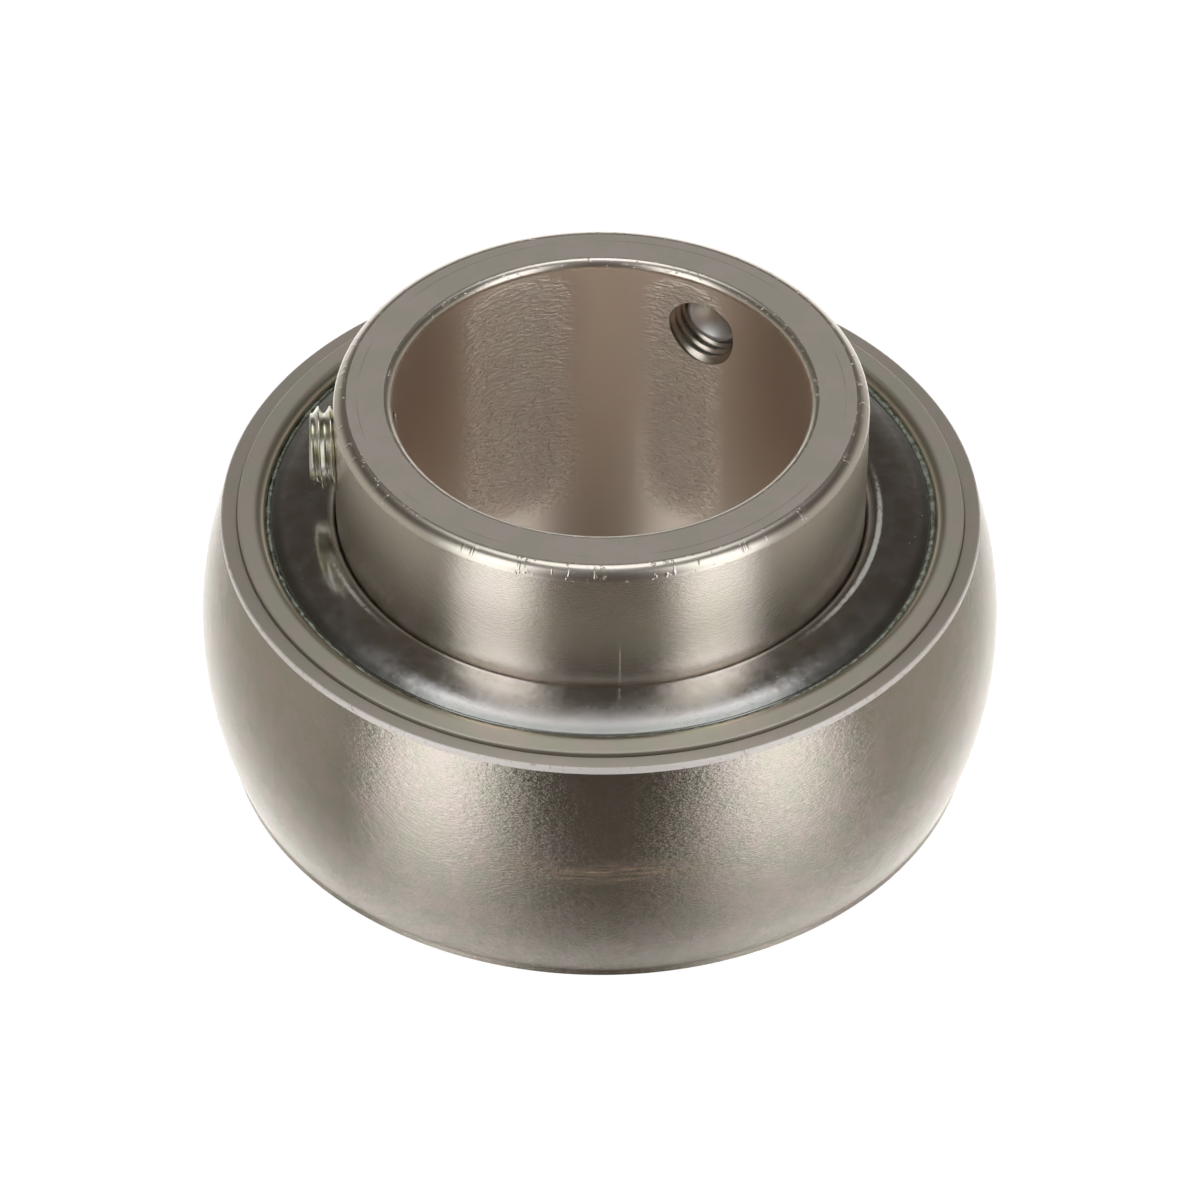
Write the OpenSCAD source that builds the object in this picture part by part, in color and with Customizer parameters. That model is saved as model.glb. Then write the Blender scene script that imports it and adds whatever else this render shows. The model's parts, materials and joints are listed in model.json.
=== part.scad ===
// Ball bearing insert with a spherical outside and a wide inner ring locked by two set screws.
// Origin: centre of the outer ring, in the plane of the ball row. +Z: bearing axis, set-screw end up.
// Ring sections are drawn in the plane of the axis: x is the radius and y is the height.

/* [Outer ring] */
// Diameter of the spherical outside
outer_d = 62; // [61.8:0.1:62.2]
// Width of the outer ring along the axis
outer_w = 21.7; // [21.5:0.1:22]
// Height of the plain band between the spherical outside and each face
edge_band = 0.58; // [0.3:0.01:0.7]
// Inside diameter of the lands beside the raceway
land_d = 51.8; // [51.6:0.1:52]
// Diameter of the counterbore in each face
counterbore_d = 56; // [55.9:0.05:56.2]
// Depth of the counterbore in each face
counterbore_depth = 2.65; // [2.6:0.05:2.7]

/* [Inner ring] */
// Bore diameter, which takes the shaft
bore_d = 31.75; // [30:0.05:32]
// Outside diameter of the inner ring
inner_d = 40.76; // [40.6:0.02:40.9]
// Full width of the inner ring
inner_w = 38.1; // [37.5:0.1:38.5]
// Distance from the ball row to the set-screw end
long_side = 22.2; // [21.8:0.1:22.4]
// Rounding at the outside edge of both ends
rim_round = 1; // [0.8:0.05:1.1]
// Rounding at the bore's edge of both ends
bore_round = 0.65; // [0.4:0.05:0.8]

/* [Balls and raceways] */
// Number of balls
ball_n = 9; // [6:1:9]
// Ball diameter
ball_d = 9.525; // [9.4:0.005:9.55]
// Diameter of the circle through the ball centres
pitch_d = 46; // [45.9:0.01:46.1]
// Gap between a ball and each raceway, at the bottom of the groove
race_gap = 0.01; // [0.005:0.005:0.03]
// Radius of the groove's arc as a share of the ball diameter
conformity = 0.52; // [0.51:0.005:0.53]

/* [Cage] */
// Thickness of the cage's sheet steel
cage_sheet = 0.8; // [0.6:0.05:0.9]
// Width of the cage ribbon along the radius
cage_w = 2.9; // [2.4:0.1:3.2]
// Gap between a ball and its pocket
pocket_gap = 0.09; // [0.05:0.01:0.1]
// Diameter of a rivet's shank
rivet_d = 1.6; // [1.2:0.1:1.8]
// Diameter of a rivet's head
rivet_head_d = 2.6; // [2.2:0.1:2.8]
// Height of a rivet's head
rivet_head_h = 0.5; // [0.3:0.05:0.6]

/* [Seal retainers] */
// Height that a retainer stands proud of the outer ring's face
retainer_proud = 0.38; // [0.1:0.02:0.5]
// Inside diameter of a retainer
retainer_hole_d = 51.6; // [51.5:0.05:51.8]
// Thickness of a retainer's sheet steel
retainer_sheet = 0.7; // [0.6:0.05:0.7]
// Radius of the retainer's rolled inner edge
retainer_roll = 0.75; // [0.5:0.05:0.8]

/* [Rubber seals] */
// Thickness of a seal's web
seal_web = 0.8; // [0.6:0.05:0.8]
// Gap between a seal's lip and the inner ring
lip_gap = 0.04; // [0.03:0.01:0.08]

/* [Flingers] */
// Outside diameter of a flinger
flinger_d = 51; // [50.8:0.05:51.2]
// Thickness of a flinger's sheet steel
flinger_sheet = 0.8; // [0.7:0.05:0.85]
// Height of a flinger's flat inner part above the ball row
dish_top = 11.2; // [11.1:0.05:11.25]
// Diameter at which the flat part ends and the domed part starts
dish_flat_d = 43.8; // [43:0.2:45]
// Drop of the domed part from the flat to the rim
dish_drop = 0.57; // [0.4:0.01:0.6]
// Radius of the bend between a flinger's face and its collar on the inner ring
collar_bend = 0.8; // [0.5:0.05:0.9]
// Length of the collar, down from the face
collar_len = 1.6; // [1.4:0.05:1.6]
// Rounding at a flinger's rim
rim_edge = 0.28; // [0.1:0.02:0.3]

/* [Set screws] */
// Thread diameter
screw_d = 6.35; // [6.2:0.01:6.4]
// Thread pitch, which is one turn's travel
screw_pitch = 0.907; // [0.9:0.001:1]
// Length of a set screw
screw_len = 4.76; // [4.7:0.01:4.8]
// Distance across the flats of the hexagon socket
socket_af = 3.175; // [3.1:0.005:3.2]
// Depth of the hexagon socket
socket_depth = 2.4; // [2:0.1:2.5]
// Gap between a set screw and the wall of its hole
screw_gap = 0.025; // [0.02:0.005:0.05]
// Distance of the screws' axes from the ring's end
screw_down = 5.2; // [5:0.1:5.5]
// Direction of set screw A, in degrees anticlockwise from +X
screw_a_angle = 181; // [170:1:190]
// Direction of set screw B, in degrees anticlockwise from +X
screw_b_angle = 61; // [50:1:70]
// Distance from the bearing axis to the tip of set screw A
screw_a_tip = 17.44; // [16.5:0.01:17.8]
// Distance from the bearing axis to the tip of set screw B
screw_b_tip = 17.78; // [16.5:0.01:17.8]

/* [Hidden] */
$fn = 96;
eps = 0.01;
ball_names = [for (i = [1 : ball_n]) str("ball_", i)];

sphere_r = outer_d / 2;
half_w = outer_w / 2;
band_foot = half_w - edge_band;
band_r = sqrt(sphere_r * sphere_r - band_foot * band_foot);
land_r = land_d / 2;
counterbore_r = counterbore_d / 2;
counterbore_floor = half_w - counterbore_depth;
edge_break = 0.1;

bore_r = bore_d / 2;
inner_r = inner_d / 2;
inner_top = long_side;
inner_bottom = long_side - inner_w;

ball_r = ball_d / 2;
pitch_r = pitch_d / 2;
groove_r = conformity * ball_d;
outer_groove_x = pitch_r + ball_r + race_gap - groove_r;
inner_groove_x = pitch_r - ball_r - race_gap + groove_r;

pocket_r = ball_r + pocket_gap;
pocket_shell_r = pocket_r + cage_sheet;
cage_in_r = pitch_r - cage_w / 2;
cage_out_r = pitch_r + cage_w / 2;
rivet_gap = 0.01;

retainer_top = half_w + retainer_proud;
retainer_in_r = retainer_hole_d / 2;
retainer_leg_in = counterbore_r - retainer_sheet;

seal_rim_gap = 0.05;
seal_rim_in = retainer_in_r + retainer_sheet + seal_rim_gap;
seal_rim_out = retainer_leg_in - seal_rim_gap;
seal_top = counterbore_floor + seal_web;
seal_rim_top = retainer_top - retainer_sheet - seal_rim_gap;
lip_r = inner_r + lip_gap;
lip_root_r = lip_r + 1.2;
lip_rise = 0.5;

flinger_r = flinger_d / 2;
dish_flat_r = dish_flat_d / 2;
dome_run = flinger_r - dish_flat_r;
dome_r = (dome_run * dome_run + dish_drop * dish_drop) / (2 * dish_drop);
dome_z = dish_top - dome_r;
dish_rim = dish_top - dish_drop;
rim_x = flinger_r - rim_edge;
rim_z = dome_z + sqrt(pow(dome_r - rim_edge, 2) - pow(rim_x - dish_flat_r, 2));
rim_lean = asin((rim_x - dish_flat_r) / (dome_r - rim_edge));
rim_foot = dish_rim - 1.3 * flinger_sheet;
collar_foot = dish_top - collar_len;

screw_r = screw_d / 2;
screw_z = inner_top - screw_down;
screw_chamfer = screw_pitch * 0.6;
cup_r = 0.6 * screw_r;
cup_depth = cup_r * tan(31);
tip_chamfer = (screw_r - cup_r) * 0.75;

// A solid turned from a section about the bearing axis
module turned() {
    rotate_extrude() children();
}

// The same shape on both sides of the ball row
module both_sides() {
    children();
    mirror([0, 1]) children();
}

// Rectangle in a section, from one corner to the opposite one
module block(x0, y0, x1, y1) {
    translate([x0, y0]) square([x1 - x0, y1 - y0]);
}

// What a rounding of radius r removes at a corner; sx and sy point from the corner out of the metal
module rounding(x, y, r, sx, sy) {
    translate([x, y]) scale([sx, sy]) difference() {
        block(-r, -r, eps, eps);
        translate([-r, -r]) circle(r);
    }
}

// Triangle that a 45-degree chamfer of size c removes at a corner
module chamfer(x, y, c, sx, sy) {
    translate([x, y]) scale([sx, sy])
        polygon([[eps, eps], [-c - eps, eps], [eps, -c - eps]]);
}

module outer_ring_section() {
    difference() {
        union() {
            intersection() {
                circle(sphere_r);
                block(0, -band_foot, sphere_r, band_foot);
            }
            block(0, -half_w, band_r, half_w);
        }
        block(-eps, -half_w - eps, land_r, half_w + eps);
        translate([outer_groove_x, 0]) circle(groove_r);
        both_sides() {
            block(0, counterbore_floor, counterbore_r, half_w + eps);
            chamfer(band_r, half_w, edge_break, 1, 1);
        }
    }
}

module inner_ring_section() {
    difference() {
        block(bore_r, inner_bottom, inner_r, inner_top);
        translate([inner_groove_x, 0]) circle(groove_r);
        rounding(inner_r, inner_top, rim_round, 1, 1);
        rounding(inner_r, inner_bottom, rim_round, 1, -1);
        rounding(bore_r, inner_top, bore_round, -1, 1);
        rounding(bore_r, inner_bottom, bore_round, -1, -1);
    }
}

// Moves a shape drawn along +Z at the origin to a set screw's axis, pointing outwards
module on_screw_axis(angle) {
    rotate([0, 0, angle]) translate([0, 0, screw_z]) rotate([0, 90, 0]) children();
}

module outer_ring() {
    color("#8f877c") turned() outer_ring_section();
}

module inner_ring() {
    color("#857d73") difference() {
        turned() inner_ring_section();
        for (angle = [screw_a_angle, screw_b_angle])
            on_screw_axis(angle) cylinder(h = inner_d, r = screw_r + screw_gap);
    }
}

// Puts its children at one ball's place in the row
module at_ball(i) {
    rotate([0, 0, (i - 1) * 360 / ball_n]) translate([pitch_r, 0, 0]) children();
}

// Puts its children halfway between one ball and the next
module at_rivet(i) {
    rotate([0, 0, (i - 0.5) * 360 / ball_n]) translate([pitch_r, 0, 0]) children();
}

module ball(i) {
    color("#c9cccf") at_ball(i) sphere(ball_r);
}

// Ring-shaped envelope of the cage ribbon, from the ball row up to height h
module ribbon(h) {
    turned() block(cage_in_r, 0, cage_out_r, h);
}

// One pressed half of the cage, above the ball row: flat between the balls and domed over each one
module cage_half() {
    difference() {
        intersection() {
            ribbon(pocket_shell_r + eps);
            union() {
                cylinder(h = cage_sheet, r = cage_out_r + eps);
                for (i = [1 : ball_n])
                    at_ball(i) sphere(pocket_shell_r);
            }
        }
        for (i = [1 : ball_n]) {
            at_ball(i) sphere(pocket_r);
            at_rivet(i) cylinder(h = 4 * cage_sheet, d = rivet_d + 2 * rivet_gap, center = true);
        }
    }
}

module cage_upper() {
    color("#b5b0a6") cage_half();
}

module cage_lower() {
    color("#b5b0a6") mirror([0, 0, 1]) cage_half();
}

// Half of a rivet: half the shank, and a domed head that rests on the sheet
module rivet_half() {
    dome_r = (pow(rivet_head_d / 2, 2) + pow(rivet_head_h, 2)) / (2 * rivet_head_h);
    cylinder(h = cage_sheet, d = rivet_d);
    intersection() {
        translate([0, 0, cage_sheet]) cylinder(h = rivet_head_h, d = rivet_head_d);
        translate([0, 0, cage_sheet + rivet_head_h - dome_r]) sphere(dome_r);
    }
}

module cage_rivets() {
    color("#a7a29a") for (i = [1 : ball_n])
        at_rivet(i) {
            rivet_half();
            mirror([0, 0, 1]) rivet_half();
        }
}

// Channel-shaped ring whose outer leg is pressed into the counterbore
module seal_retainer_section() {
    difference() {
        block(retainer_in_r, seal_top, counterbore_r, retainer_top);
        block(retainer_in_r + retainer_sheet, 0, retainer_leg_in, retainer_top - retainer_sheet);
        rounding(retainer_in_r, retainer_top, retainer_roll, -1, 1);
        chamfer(counterbore_r, retainer_top, edge_break, 1, 1);
    }
}

module seal_retainer_upper() {
    color("#8b897b") turned() seal_retainer_section();
}

module seal_retainer_lower() {
    color("#8b897b") mirror([0, 0, 1]) seal_retainer_upper();
}

// Washer with a thick rim held by the retainer, and a lip that leans outwards on the inner ring
module rubber_seal_section() {
    block(seal_rim_in, counterbore_floor, seal_rim_out, seal_rim_top);
    block(lip_root_r, counterbore_floor, seal_rim_out, seal_top);
    polygon([
        [lip_root_r + eps, counterbore_floor],
        [lip_root_r + eps, seal_top],
        [lip_r + 0.3, seal_top + lip_rise],
        [lip_r, seal_top + lip_rise],
        [lip_r, seal_top + lip_rise - 0.3]
    ]);
}

module rubber_seal_upper() {
    color("#26272a") turned() rubber_seal_section();
}

module rubber_seal_lower() {
    color("#26272a") mirror([0, 0, 1]) rubber_seal_upper();
}

// Disc of radius r about the centre of the dome's arc
module dome_disc(r) {
    translate([dish_flat_r, dome_z]) circle(r, $fn = 360);
}

// Face of a flinger: flat beside the inner ring, then domed down to the rim
module flinger_face() {
    block(inner_r, dish_top - flinger_sheet, dish_flat_r + eps, dish_top);
    difference() {
        intersection() {
            dome_disc(dome_r);
            block(dish_flat_r, rim_foot, flinger_r, dish_top);
        }
        dome_disc(dome_r - flinger_sheet);
    }
}

// What the rounding removes between the dome and the rim; it is tangent to both
module rim_rounding() {
    reach = 2 * rim_edge;
    translate([rim_x, rim_z]) difference() {
        polygon([[0, 0], [reach * sin(rim_lean), reach * cos(rim_lean)], [reach, reach], [reach, 0]]);
        circle(rim_edge);
    }
}

// Face with its collar, bent down along the inner ring, and its turned-down rim
module flinger_section() {
    difference() {
        union() {
            flinger_face();
            block(inner_r, collar_foot, inner_r + flinger_sheet, dish_top);
            block(flinger_r - flinger_sheet, rim_foot, flinger_r, dish_rim);
        }
        rounding(inner_r, dish_top, collar_bend, -1, 1);
        rim_rounding();
    }
}

module flinger_upper() {
    color("#55504b") turned() flinger_section();
}

module flinger_lower() {
    color("#55504b") mirror([0, 0, 1]) flinger_upper();
}

// Set screw along +Z: cup point at the origin, hexagon socket in the far end
module set_screw() {
    difference() {
        rotate_extrude() polygon([
            [0, 0],
            [screw_r - tip_chamfer, 0],
            [screw_r, tip_chamfer],
            [screw_r, screw_len - screw_chamfer],
            [screw_r - screw_chamfer, screw_len],
            [0, screw_len]
        ]);
        rotate_extrude() polygon([[0, -eps], [cup_r, -eps], [cup_r, 0], [0, cup_depth]]);
        translate([0, 0, screw_len - socket_depth])
            cylinder(h = socket_depth + eps, d = socket_af / cos(30), $fn = 6);
    }
}

module set_screw_a() {
    color("#9a9488") on_screw_axis(screw_a_angle) translate([0, 0, screw_a_tip]) set_screw();
}

module set_screw_b() {
    color("#9a9488") on_screw_axis(screw_b_angle) translate([0, 0, screw_b_tip]) set_screw();
}

outer_ring();
inner_ring();
for (i = [1 : ball_n])
    ball(i);
cage_upper();
cage_lower();
cage_rivets();
seal_retainer_upper();
seal_retainer_lower();
rubber_seal_upper();
rubber_seal_lower();
flinger_upper();
flinger_lower();
set_screw_a();
set_screw_b();
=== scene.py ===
"""Looks of a ball bearing insert: its rings, seals and set screws as fine meshes round the CAD frame."""
import json
import math

import bmesh
import bpy
import numpy as np
from mathutils import Matrix, Vector, noise


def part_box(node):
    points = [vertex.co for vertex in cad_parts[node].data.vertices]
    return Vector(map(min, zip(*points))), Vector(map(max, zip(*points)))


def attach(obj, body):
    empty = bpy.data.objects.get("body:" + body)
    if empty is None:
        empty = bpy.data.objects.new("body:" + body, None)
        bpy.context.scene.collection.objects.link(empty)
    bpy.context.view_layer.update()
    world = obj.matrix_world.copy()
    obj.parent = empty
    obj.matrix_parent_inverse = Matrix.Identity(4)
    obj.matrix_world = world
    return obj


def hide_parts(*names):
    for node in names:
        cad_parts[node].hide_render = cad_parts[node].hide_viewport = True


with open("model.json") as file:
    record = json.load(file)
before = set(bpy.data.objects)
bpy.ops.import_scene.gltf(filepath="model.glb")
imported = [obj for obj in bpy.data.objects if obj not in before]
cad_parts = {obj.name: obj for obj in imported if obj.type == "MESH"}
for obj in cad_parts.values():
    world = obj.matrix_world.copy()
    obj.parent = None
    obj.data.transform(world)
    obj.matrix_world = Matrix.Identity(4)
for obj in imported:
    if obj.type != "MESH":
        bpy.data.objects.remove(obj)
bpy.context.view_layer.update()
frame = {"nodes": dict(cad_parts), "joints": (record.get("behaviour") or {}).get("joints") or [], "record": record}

# Sizes are in millimetres and angles in degrees, unless a comment says otherwise. Outlines are drawn
# as (radius, height) in a half plane through the bearing axis, with the ball row at height 0.
MM = 0.001
TURN = 2 * math.pi
SEGMENTS = 288
ROD_SEGMENTS = 96
SHARP_EDGE = 35


def top_of(node):
    """Height of a CAD node's highest point."""
    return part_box(node)[1].z / MM


def radius_of(node):
    """Outer radius of a CAD node that is round about the bearing axis."""
    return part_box(node)[1].x / MM


def mount(name):
    """One of the record's mounts."""
    return next(m for m in frame["record"]["mounts"] if m["name"] == name)


# Outer ring; the centres of both raceways' grooves lie at the height of the ball row
sphere_r = radius_of("outer_ring")
half_w = top_of("outer_ring")
edge_band = 0.58
band_foot = half_w - edge_band
band_r = math.sqrt(sphere_r**2 - band_foot**2)
corner_r = 0.12
counterbore_r = radius_of("seal_retainer_upper")
counterbore_floor = 8.2
land_r = 25.9
outer_groove_x = 22.8195
inner_groove_x = 23.1805
groove_r = 4.953

# Inner ring
bore_r = mount("bore")["dims"]["r_mm"]
inner_r = radius_of("inner_ring")
inner_top = top_of("inner_ring")
inner_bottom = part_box("inner_ring")[0].z / MM
rim_round = 1.0
bore_round = 0.65

# Seal retainers
retainer_top = top_of("seal_retainer_upper")
retainer_in_r = 25.8
retainer_sheet = 0.7
retainer_roll = 0.75
retainer_edge = 0.22
retainer_foot = counterbore_floor + 0.8

# Flingers
flinger_r = radius_of("flinger_upper")
dish_top = top_of("flinger_upper")
dish_flat_r = 21.9
dish_drop = 0.57
dish_rim = dish_top - dish_drop
flinger_sheet = 0.8
rim_edge = 0.28
rim_foot = dish_rim - 1.3 * flinger_sheet
collar_bend = 0.8
collar_foot = dish_top - 1.6

# Radius of the flinger's painted highlight arc, then grease that has crept out of the seals
highlight_arc_r = 21.5
bead_r = 25.62
bead_width = 0.3
bead_drop = 0.22

# Set screws, 1/4-28 thread
screw_r = 3.175
screw_pitch = 0.907
thread_depth = 0.55
socket_af = 3.175
socket_depth = 2.4
cup_r = 0.6 * screw_r
cup_slope = 31
cup_depth = cup_r * math.tan(math.radians(cup_slope))
tap_gap = 0.03
SCREWS = {"set_screw_a": "screw_a", "set_screw_b": "screw_b"}

# Marks on the surfaces; an angle is counted round the axis, to the right of the front
scratch_x = 1.5
scratch_half_width = 0.06
scratch_foot = 11.0
scratch_top = 16.4
rust_z = 1.7
rust_half_height = 1.7
rust_angle = 1.0
rust_reach = 21.0
hairline_r = 18.55
hairline_half_width = 0.06
rim_clean_r = 24.4
rim_dirty_r = 25.1
dents_foot = -4.0
dents_top = 22.0
left_dents_angle = -155.0
left_dents_reach = 22.0
right_dents_angle = 156.0
right_dents_reach = 15.0
dent_depth = 0.22
cup_zone_r = 18.0
thread_zone_r = 19.0


def line(finish, start, end):
    """Straight stretch of an outline; the metal lies on the left of its direction."""
    step = np.subtract(end, start)
    normal = np.array([step[1], -step[0]]) / np.hypot(*step)
    return finish, np.array([[*start, *normal], [*end, *normal]])


def arc(finish, centre, radius, first, last, steps):
    """Round stretch from one angle to another in degrees; a rising angle gives a convex edge."""
    turn = np.radians(np.linspace(first, last, steps + 1))
    way = np.stack([np.cos(turn), np.sin(turn)], 1)
    side = 1 if last > first else -1
    return finish, np.hstack([np.add(centre, radius * way), side * way])


def mirrored(strips):
    """The same stretches below the ball row, in the order that closes the outline."""
    flip = np.array([1, -1, 1, -1])
    return [(finish, rows[::-1] * flip) for finish, rows in reversed(strips)]


def outer_ring_outline():
    """Sphere, edge bands, counterbores and raceway; the lower band is ground like the sphere."""
    groove_edge = math.degrees(math.acos((land_r - outer_groove_x) / groove_r))
    groove_z = groove_r * math.sin(math.radians(groove_edge))
    foot_angle = math.degrees(math.asin(band_foot / sphere_r))
    upper = [
        arc("ground", (0, 0), sphere_r, 0, foot_angle, 40),
        line("band", (band_r, band_foot), (band_r, half_w - corner_r)),
        arc("band", (band_r - corner_r, half_w - corner_r), corner_r, 0, 90, 4),
        line("face", (band_r - corner_r, half_w), (counterbore_r + corner_r, half_w)),
        arc("face", (counterbore_r + corner_r, half_w - corner_r), corner_r, 90, 180, 4),
        line("hidden", (counterbore_r, half_w - corner_r), (counterbore_r, counterbore_floor)),
        line("hidden", (counterbore_r, counterbore_floor), (land_r, counterbore_floor)),
        line("hidden", (land_r, counterbore_floor), (land_r, groove_z)),
        arc("raceway", (outer_groove_x, 0), groove_r, groove_edge, 0, 16),
    ]
    lower = [("ground" if finish == "band" else finish, rows) for finish, rows in mirrored(upper)]
    return upper + lower


def inner_ring_outline():
    """Raceway, ground cylinder, rounded edges, end faces and bore."""
    groove_edge = math.degrees(math.acos((inner_groove_x - inner_r) / groove_r))
    groove_z = groove_r * math.sin(math.radians(groove_edge))
    return [
        arc("raceway", (inner_groove_x, 0), groove_r, 180, 180 - groove_edge, 16),
        line("ground", (inner_r, groove_z), (inner_r, inner_top - rim_round)),
        arc("edge", (inner_r - rim_round, inner_top - rim_round), rim_round, 0, 90, 14),
        line("turned", (inner_r - rim_round, inner_top), (bore_r + bore_round, inner_top)),
        arc("edge", (bore_r + bore_round, inner_top - bore_round), bore_round, 90, 180, 12),
        line("bore", (bore_r, inner_top - bore_round), (bore_r, inner_bottom + bore_round)),
        arc("edge", (bore_r + bore_round, inner_bottom + bore_round), bore_round, 180, 270, 12),
        line("turned", (bore_r + bore_round, inner_bottom), (inner_r - rim_round, inner_bottom)),
        arc("edge", (inner_r - rim_round, inner_bottom + rim_round), rim_round, 270, 360, 14),
        line("ground", (inner_r, inner_bottom + rim_round), (inner_r, -groove_z)),
        arc("raceway", (inner_groove_x, 0), groove_r, 180 + groove_edge, 180, 16),
    ]


def retainer_outline():
    """Pressed ring: a flat with a rolled inner edge, and a leg in the counterbore."""
    inside_r = retainer_in_r + retainer_sheet
    leg_r = counterbore_r - retainer_sheet
    under = retainer_top - retainer_sheet
    corner = (counterbore_r - retainer_edge, retainer_top - retainer_edge)
    roll = (retainer_in_r + retainer_roll, retainer_top - retainer_roll)
    return [
        line("sheet", (counterbore_r, retainer_foot), (counterbore_r, corner[1])),
        arc("sheet", corner, retainer_edge, 0, 90, 6),
        line("sheet", (corner[0], retainer_top), (roll[0], retainer_top)),
        arc("sheet", roll, retainer_roll, 90, 180, 12),
        line("sheet", (retainer_in_r, roll[1]), (retainer_in_r, retainer_foot)),
        line("sheet", (retainer_in_r, retainer_foot), (inside_r, retainer_foot)),
        line("sheet", (inside_r, retainer_foot), (inside_r, under)),
        line("sheet", (inside_r, under), (leg_r, under)),
        line("sheet", (leg_r, under), (leg_r, retainer_foot)),
        line("sheet", (leg_r, retainer_foot), (counterbore_r, retainer_foot)),
    ]


def flinger_outline():
    """Collar bent down along the inner ring, the flat and domed face, and the turned-down rim."""
    run = flinger_r - dish_flat_r
    dome_r = (run**2 + dish_drop**2) / (2 * dish_drop)
    dome = (dish_flat_r, dish_top - dome_r)
    rim_x = flinger_r - rim_edge
    rim_z = dome[1] + math.sqrt((dome_r - rim_edge)**2 - (rim_x - dish_flat_r)**2)
    lean = math.degrees(math.asin((rim_x - dish_flat_r) / (dome_r - rim_edge)))
    under_r = dome_r - flinger_sheet
    leg_r = flinger_r - flinger_sheet
    under_lean = math.degrees(math.asin((leg_r - dish_flat_r) / under_r))
    under_z = dome[1] + math.sqrt(under_r**2 - (leg_r - dish_flat_r)**2)
    collar_out = inner_r + flinger_sheet
    bend = (inner_r + collar_bend, dish_top - collar_bend)
    return [
        line("plate", (flinger_r, rim_foot), (flinger_r, rim_z)),
        arc("plate", (rim_x, rim_z), rim_edge, 0, 90 - lean, 8),
        arc("plate", dome, dome_r, 90 - lean, 90, 16),
        line("plate", (dish_flat_r, dish_top), (bend[0], dish_top)),
        arc("plate", bend, collar_bend, 90, 180, 12),
        line("plate", (inner_r, bend[1]), (inner_r, collar_foot)),
        line("plate", (inner_r, collar_foot), (collar_out, collar_foot)),
        line("plate", (collar_out, collar_foot), (collar_out, dish_top - flinger_sheet)),
        line("plate", (collar_out, dish_top - flinger_sheet), (dish_flat_r, dish_top - flinger_sheet)),
        arc("plate", dome, under_r, 90, 90 - under_lean, 8),
        line("plate", (leg_r, under_z), (leg_r, rim_foot)),
        line("plate", (leg_r, rim_foot), (flinger_r, rim_foot)),
    ]


def new_object(name, data):
    """Object in the scene for a mesh or a camera."""
    made = bpy.data.objects.new(name, data)
    bpy.context.scene.collection.objects.link(made)
    return made


def turned_solid(name, strips, looks):
    """Closed ring turned about Z from an outline; looks gives the material of each finish."""
    finishes = list(looks)
    rows = np.vstack([points[:-1, :2] for _, points in strips])
    turn = np.arange(SEGMENTS) * TURN / SEGMENTS
    verts = np.stack([
        np.outer(rows[:, 0], np.cos(turn)),
        np.outer(rows[:, 0], np.sin(turn)),
        np.repeat(rows[:, 1:], SEGMENTS, 1),
    ], -1).reshape(-1, 3)
    low = np.arange(len(rows))[:, None] * SEGMENTS
    high = np.roll(low, -1, 0)
    near = np.arange(SEGMENTS)[None]
    far = np.roll(near, -1, 1)
    faces = np.stack([low + near, low + far, high + far, high + near], -1).reshape(-1, 4)
    row_finish = [finishes.index(finish) for finish, points in strips for _ in points[:-1]]
    mesh = bpy.data.meshes.new(name)
    mesh.from_pydata((verts * MM).tolist(), [], faces.tolist())
    for material in looks.values():
        mesh.materials.append(material)
    mesh.polygons.foreach_set("material_index", np.repeat(row_finish, SEGMENTS))
    return new_object(name, mesh)


def along_strip(places, rows):
    """Distance from each (radius, height) to a stretch of outline, and the outline's normal there."""
    best = np.full(len(places), np.inf)
    normal = np.zeros((len(places), 2))
    for start, end in zip(rows[:-1], rows[1:]):
        step = (end - start)[:2]
        share = np.clip((places - start[:2]) @ step / (step @ step), 0, 1)[:, None]
        distance = np.linalg.norm(places - start[:2] - share * step, axis=1)
        closer = distance < best
        best[closer] = distance[closer]
        normal[closer] = (start[2:] + share * (end - start)[2:])[closer]
    return best, normal


def exact_normals(piece, strips, looks):
    """Shades every turned face with the true normal of its outline; other faces keep their own."""
    finishes = list(looks)
    mesh = piece.data
    mesh.set_sharp_from_angle(angle=math.radians(SHARP_EDGE))
    normals = np.zeros(len(mesh.loops) * 3)
    mesh.corner_normals.foreach_get("vector", normals)
    normals = normals.reshape(-1, 3)
    places = np.zeros(len(mesh.vertices) * 3)
    mesh.vertices.foreach_get("co", places)
    corner = np.zeros(len(mesh.loops), int)
    mesh.loops.foreach_get("vertex_index", corner)
    places = places.reshape(-1, 3)[corner] / MM
    radius = np.hypot(places[:, 0], places[:, 1])
    section = np.stack([radius, places[:, 2]], 1)
    counts = np.array([len(face.vertices) for face in mesh.polygons])
    owner = np.repeat(np.arange(len(counts)), counts)
    middle = np.stack([np.bincount(owner, section[:, i]) / counts for i in (0, 1)], 1)
    face_finish = np.array([face.material_index for face in mesh.polygons])
    nearest = np.full(len(counts), np.inf)
    for finish, rows in strips:
        distance, _ = along_strip(middle, rows)
        mine = (face_finish == finishes.index(finish)) & (distance < nearest)
        nearest[mine] = distance[mine]
        corners = mine[owner]
        _, slope = along_strip(section[corners], rows)
        outward = places[corners, :2] / radius[corners, None]
        normals[corners] = np.hstack([outward * slope[:, :1], slope[:, 1:]])
    mesh.normals_split_custom_set(normals)


def rod(name, points, segments):
    """Closed solid turned about Z from an outline that starts and ends on the axis."""
    verts = []
    for radius, height in points:
        for k in range(segments):
            turn = TURN * k / segments
            verts.append((radius * math.cos(turn), radius * math.sin(turn), height))
    faces = []
    for row in range(len(points) - 1):
        for k in range(segments):
            after = (k + 1) % segments
            low, high = row * segments, (row + 1) * segments
            faces.append((low + k, low + after, high + after, high + k))
    return solid_from(name, verts, faces)


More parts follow.
